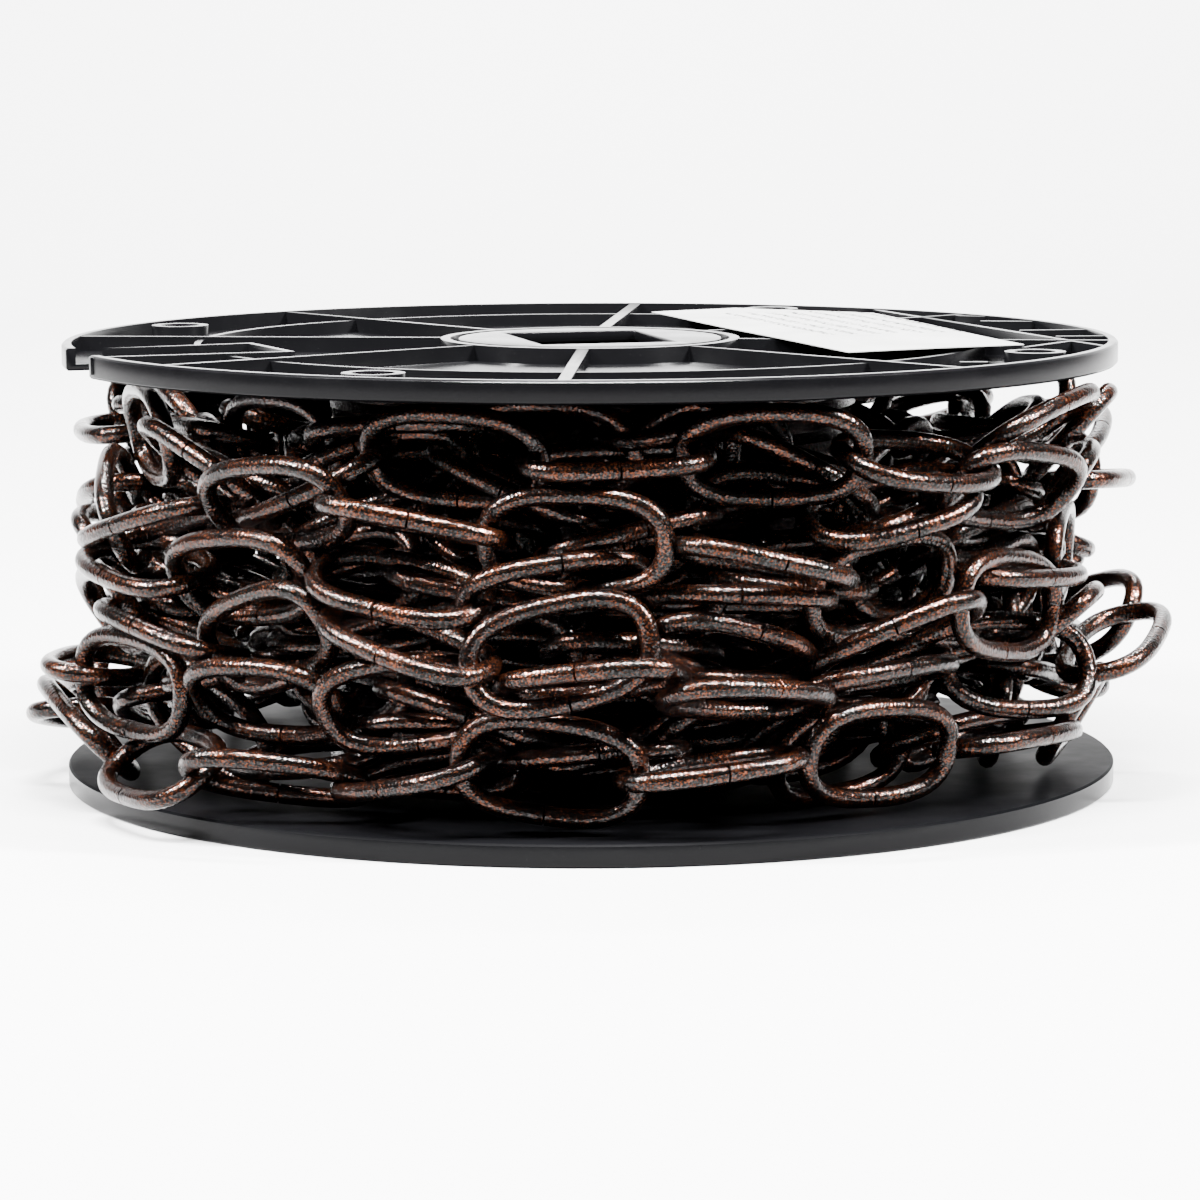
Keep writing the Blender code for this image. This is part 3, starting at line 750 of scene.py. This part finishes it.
def links_mesh(name, links, sides, count):
    """One mesh of separate links, each a closed ring of wire."""
    outlines = {side: fine_outline(side, count) for side in (1, -1)}
    verts, faces = [], []
    for centre, frame, seam_side in links:
        rings = link_rings(outlines[seam_side], centre, frame, sides)
        rows = len(rings)
        base = len(verts)
        verts.extend(rings.reshape(-1, 3).tolist())
        for k in range(rows):
            here = base + k * sides
            there = base + (k + 1) % rows * sides
            for n in range(sides):
                p = (n + 1) % sides
                faces.append((here + n, here + p, there + p, there + n))
    mesh = bpy.data.meshes.new(name)
    mesh.from_pydata(verts, [], faces)
    mesh.validate()
    smooth(mesh, 60)
    return mesh


def build_outer_chain(bronze):
    """The layer in sight, a piece for each arc of links; links on edge have their seam outside."""
    centres, frames, names, joined, apart = wind_chain()
    settler = Settler(centres, frames, joined, apart)
    settler.run(SETTLE_STEPS)
    for name in dict.fromkeys(names):
        links = []
        for k, n in enumerate(names):
            if n == name:
                outward = settler.x[k] * np.array([1, 1, 0.0])
                outward /= np.linalg.norm(outward)
                side = 1 if settler.frames[k][:, 1] @ outward > SEAM_OUT_COSINE else -1
                links.append((settler.x[k], settler.frames[k], side))
        mesh = links_mesh(name, links, OUTER_SIDES, OUTER_STATIONS)
        piece = add_object(name.replace("chain_wrap", "bronze_links"), mesh, bronze)
        finish_piece(piece, "chain", name)
    return settler


def inner_layers(outer):
    """Settle the two hidden layers of links inside the outer one, which stays put."""
    rolls = random.Random(INNER_SEED)
    centres, frames = list(outer.x), list(outer.frames)
    first, second = [], []
    for radius, step, wraps in INNER_LAYERS:
        turns = int(360 * wraps / step)
        low = FLANGE_DEPTH + LINK_WIDTH / 2 - 2
        high = REEL_HEIGHT - low
        for k in range(turns):
            height = low + (high - low) * k / (turns - 1)
            height += rolls.uniform(-INNER_PLACE_SPREAD, INNER_PLACE_SPREAD)
            roll = INNER_EDGE_ON_ROLL if k % 2 else INNER_FLAT_ROLL
            roll += rolls.uniform(-INNER_ROLL_SPREAD, INNER_ROLL_SPREAD)
            climb = rolls.uniform(-INNER_CLIMB_SPREAD, INNER_CLIMB_SPREAD)
            away = radius + rolls.uniform(-INNER_PLACE_SPREAD, INNER_PLACE_SPREAD)
            centre, frame = link_pose(INNER_START + k * step, height, climb, roll, away)
            if k:
                first.append(len(centres) - 1)
                second.append(len(centres))
            centres.append(centre)
            frames.append(frame)
    count = len(centres)
    apart = np.full((count, count), WIRE + INNER_CLEARANCE)
    for a, b in zip(first, second):
        apart[a, b] = apart[b, a] = WIRE
    joined = (np.array(first), np.array(second))
    settler = Settler(np.array(centres), np.array(frames), joined, apart)
    settler.core = HEART_RADIUS - HEART_SINK
    settler.still = len(outer.x)
    settler.run(INNER_STEPS)
    return settler


def build_inner_chain(outer, bronze):
    """The hidden layers of links, and behind them a plain wavy ring that stops light."""
    layers = inner_layers(outer)
    still = len(outer.x)
    links = [(layers.x[k], layers.frames[k], 1 if k % 3 else -1)
             for k in range(still, len(layers.x))]
    mesh = links_mesh("bronze_inner_links", links, INNER_SIDES, INNER_STATIONS)
    piece = add_object("bronze_inner_links", mesh, bronze)
    finish_piece(piece, "chain", "chain_inner_layers")
    bm = bmesh.new()
    low, high = FLANGE_DEPTH + GAP, REEL_HEIGHT - FLANGE_DEPTH - GAP
    outline = [(BARREL_RADIUS + GAP, low), (BARREL_RADIUS + GAP, high)]
    for k in range(HEART_ROWS + 1):
        height = high + (low - high) * k / HEART_ROWS
        wave = HEART_RADIUS + 0.9 * math.sin(k * 1.9) + 0.6 * math.sin(k * 0.7 + 1)
        outline.append((wave, height))
    turned(bm, outline, COARSE_STEPS)
    heart = add_object("bronze_winding_heart", mesh_from("bronze_winding_heart", bm), bronze)
    finish_piece(heart, "chain", "chain_inner_layers")


# Materials

BRONZE_DARK = (0.0007, 0.0004, 0.0003, 1)
COPPER_FLECK = (0.052, 0.013, 0.004, 1)
PLASTIC_BLACK = (0.0006, 0.0006, 0.0007, 1)
PLASTIC_DUST = (0.006, 0.006, 0.006, 1)
PAPER_SHADED = (0.075, 0.075, 0.074, 1)
PAPER_WHITE = (0.13, 0.13, 0.128, 1)
PRINT_GREY = (0.003, 0.003, 0.0033, 1)

# Heights between which the plastic is duller, in metres
DULL_FROM, DULL_TO = 0.0038, 0.0801

# Printed rows on the sheet: direction across them, spacing, and where marks start and stop
ROW_ACROSS = (0.956, 0.292)
ROW_STEP = 4.4
ROW_SHARE = 0.42
PRINT_ALONG = (-52.0, 12.0)
PRINT_ACROSS = (44.0, 73.0)


class Recipe:
    """A material made of nodes, with distances in metres and textures placed by the object."""

    def __init__(self, name):
        self.made = bpy.data.materials.new(name)
        self.made.use_nodes = True
        self.tree = self.made.node_tree
        self.shader = self.tree.nodes["Principled BSDF"]
        self.place = self.add("ShaderNodeTexCoord").outputs["Object"]

    def add(self, kind, **settings):
        node = self.tree.nodes.new(kind)
        for key, value in settings.items():
            setattr(node, key, value)
        return node

    def feed(self, node, **values):
        """Set or link a node's inputs by name, with _ for a space, or by number after an _."""
        for key, value in values.items():
            socket = node.inputs[int(key[1:]) if key[0] == "_" else key.replace("_", " ")]
            if isinstance(value, bpy.types.NodeSocket):
                self.tree.links.new(value, socket)
            else:
                socket.default_value = value
        return node

    def shifted(self, amount):
        """The object's own place moved along by amount, for a second pattern unlike the first."""
        node = self.add("ShaderNodeVectorMath", operation="ADD")
        self.feed(node, _0=self.place, _1=(amount, amount, amount))
        return node.outputs["Vector"]

    def noise(self, scale, detail=2.0, roughness=0.5, distortion=0.0, place=None):
        node = self.feed(self.add("ShaderNodeTexNoise"), Vector=place or self.place, Scale=scale,
                         Detail=detail, Roughness=roughness, Distortion=distortion)
        return node.outputs["Fac"]

    def cells(self, scale, smoothness):
        node = self.add("ShaderNodeTexVoronoi", feature="SMOOTH_F1")
        self.feed(node, Vector=self.place, Scale=scale, Smoothness=smoothness)
        return node.outputs["Distance"]

    def ramp(self, value, low, high, start=0.0, end=1.0):
        """Carry the range low to high over to start to end, and hold it there outside."""
        node = self.feed(self.add("ShaderNodeMapRange"), Value=value, From_Min=low, From_Max=high,
                         To_Min=start, To_Max=end)
        return node.outputs["Result"]

    def maths(self, operation, a, b=0.0, c=0.0):
        node = self.feed(self.add("ShaderNodeMath", operation=operation), _0=a, _1=b, _2=c)
        return node.outputs["Value"]

    def blend(self, amount, a, b):
        node = self.add("ShaderNodeMix", data_type="RGBA")
        self.feed(node, _0=amount, _6=a, _7=b)
        return node.outputs[2]

    def bump(self, height, distance, strength, normal=None):
        node = self.feed(self.add("ShaderNodeBump"), Height=height, Distance=distance,
                         Strength=strength)
        if normal:
            self.feed(node, Normal=normal)
        return node.outputs["Normal"]


def bronze_finish():
    """Dark antique bronze with a fine hammered skin, copper flecks and a patchy clear coat."""
    r = Recipe("antique_bronze")
    hammer = r.cells(1900.0, 0.3)
    grit = r.noise(3600.0, 2.0, 0.6)
    patches = r.noise(160.0, 3.0, 0.6)
    speckle = r.noise(2600.0, 2.0, 0.55)
    copper = r.ramp(r.maths("ADD", speckle, r.maths("MULTIPLY", patches, 0.35)), 0.71, 0.83)
    colour = r.blend(copper, BRONZE_DARK, COPPER_FLECK)
    coat = r.ramp(r.noise(2500.0, 2.0, 0.65, 0.0, r.shifted(4.0)), 0.50, 0.58)
    dull = r.ramp(r.noise(900.0, 2.0), 0.3, 0.7, 0.03, 0.09)
    normal = r.bump(grit, 0.00004, 0.5)
    normal = r.bump(hammer, 0.00014, 0.55, normal)
    r.feed(r.shader, Base_Color=colour, Metallic=0.9, Roughness=0.23, Normal=normal,
           Coat_Weight=r.maths("MULTIPLY", coat, 0.32), Coat_Roughness=dull, Coat_Normal=normal)
    return r.made


def black_plastic():
    """Moulded black plastic, faintly speckled and scuffed, duller between the flanges."""
    r = Recipe("black_moulded_plastic")
    cloud = r.noise(60.0, 4.0, 0.6)
    dust = r.ramp(r.noise(2600.0, 2.0, 0.7), 0.68, 0.80)
    colour = r.blend(r.maths("MULTIPLY", dust, 0.5), PLASTIC_BLACK, PLASTIC_DUST)
    height = r.feed(r.add("ShaderNodeSeparateXYZ"), Vector=r.place).outputs["Z"]
    inside = r.maths("MULTIPLY", r.maths("GREATER_THAN", height, DULL_FROM),
                     r.maths("LESS_THAN", height, DULL_TO))
    dull = r.ramp(cloud, 0.3, 0.7, 0.15, 0.26)
    normal = r.bump(r.noise(1400.0, 3.0, 0.6), 0.00001, 0.5)
    dull = r.maths("ADD", dull, r.maths("MULTIPLY", inside, 0.2))
    r.feed(r.shader, Base_Color=colour, Roughness=dull, Normal=normal,
           IOR=r.ramp(inside, 0.0, 1.0, 1.14, 1.03))
    return r.made


def label_paper():
    """Creased white paper with painted shade in its creases, and rows of small grey printed marks
    that spell nothing.
    """
    r = Recipe("label_paper_printed")
    fibres = r.noise(1800.0, 4.0, 0.6)
    crease_relief_and_shade = r.noise(70.0, 3.0, 0.6)
    # Painted shade: the paper colour goes darker where the crease pattern is low
    paper = r.blend(crease_relief_and_shade, PAPER_SHADED, PAPER_WHITE)
    split = r.feed(r.add("ShaderNodeSeparateXYZ"), Vector=r.place)
    x, y = split.outputs["X"], split.outputs["Y"]
    more, less = ROW_ACROSS[0] / MM, ROW_ACROSS[1] / MM
    along = r.maths("SUBTRACT", r.maths("MULTIPLY", x, less), r.maths("MULTIPLY", y, more))
    across = r.maths("ADD", r.maths("MULTIPLY", x, more), r.maths("MULTIPLY", y, less))
    rows = r.maths("LESS_THAN", r.maths("FRACT", r.maths("DIVIDE", across, ROW_STEP)), ROW_SHARE)
    strokes = r.maths("GREATER_THAN", r.noise(950.0, 1.0, 0.5), 0.53)
    printed = r.maths("MULTIPLY", rows, strokes)
    for value, (low, high) in ((along, PRINT_ALONG), (across, PRINT_ACROSS)):
        printed = r.maths("MULTIPLY", printed, r.maths("GREATER_THAN", value, low))
        printed = r.maths("MULTIPLY", printed, r.maths("LESS_THAN", value, high))
    colour = r.blend(printed, paper, PRINT_GREY)
    normal = r.bump(fibres, 0.00003, 0.4)
    normal = r.bump(crease_relief_and_shade, 0.0012, 0.6, normal)
    r.feed(r.shader, Base_Color=colour, Roughness=0.7, Normal=normal, IOR=1.0)
    return r.made


# Stage

def aim(thing, place, target, roll=0.0):
    """Put a camera or lamp at a place in metres, looking at the target."""
    way = Vector(target) - Vector(place)
    turn = way.to_track_quat("-Z", "Y").to_matrix().to_4x4()
    about = Matrix.Rotation(math.radians(roll), 4, "Z")
    thing.matrix_world = Matrix.Translation(place) @ turn @ about


def add_camera():
    data = bpy.data.cameras.new("photo_camera")
    data.lens = CAMERA_LENS
    data.sensor_width = CAMERA_SENSOR
    data.clip_start = 0.01
    data.clip_end = 50.0
    camera = bpy.data.objects.new("photo_camera", data)
    bpy.context.scene.collection.objects.link(camera)
    tilt = math.radians(CAMERA_PITCH)
    target = Vector(CAMERA_TARGET) * MM
    away = Vector((0, -math.cos(tilt), math.sin(tilt))) * CAMERA_DISTANCE * MM
    aim(camera, target + away, target, CAMERA_ROLL)
    bpy.context.scene.camera = camera


def soft_box(name, place, target, width, height, power):
    data = bpy.data.lights.new(name, "AREA")
    data.shape = "RECTANGLE"
    data.size = width
    data.size_y = height
    data.energy = power
    lamp = bpy.data.objects.new(name, data)
    bpy.context.scene.collection.objects.link(lamp)
    aim(lamp, place, target)


def build_stage():
    """A pale floor that curves up behind the reel, and soft studio light."""
    bm = bmesh.new()
    outline = [(FLOOR_FRONT, 0.0), (COVE_START, 0.0)]
    for k in range(1, COVE_STEPS + 1):
        a = math.radians(90 * k / COVE_STEPS)
        outline.append((COVE_START + math.sin(a) * COVE_RADIUS,
                        COVE_RADIUS - math.cos(a) * COVE_RADIUS))
    outline.append((WALL_PLACE, WALL_TOP))
    rows = [[bm.verts.new((x, y, z)) for y, z in outline]
            for x in (-FLOOR_HALF_WIDTH, FLOOR_HALF_WIDTH)]
    for k in range(len(outline) - 1):
        bm.faces.new((rows[0][k], rows[1][k], rows[1][k + 1], rows[0][k + 1]))
    floor = add_object("studio_floor", mesh_from("studio_floor", bm))
    r = Recipe("studio_white")
    tone = r.ramp(r.noise(3.0, 1.0), 0.0, 1.0, 0.185, 0.192)
    mix = r.blend(tone, (0.0, 0.0, 0.0, 1), (1.0, 1.0, 1.0, 1))
    r.feed(r.shader, Base_Color=mix, Roughness=0.9, Specular_IOR_Level=0.1)
    floor.data.materials.append(r.made)
    world = bpy.data.worlds.new("studio_world")
    world.use_nodes = True
    sky = world.node_tree.nodes["Background"]
    sky.inputs["Color"].default_value = (1, 1, 1, 1)
    sky.inputs["Strength"].default_value = WORLD_LIGHT
    bpy.context.scene.world = world
    for box in SOFT_BOXES:
        soft_box(*box)


def main():
    add_camera()
    build_stage()
    bronze, plastic, paper = bronze_finish(), black_plastic(), label_paper()
    build_flanges(plastic)
    build_barrel(plastic)
    build_label(paper)
    outer = build_outer_chain(bronze)
    build_inner_chain(outer, bronze)


main()
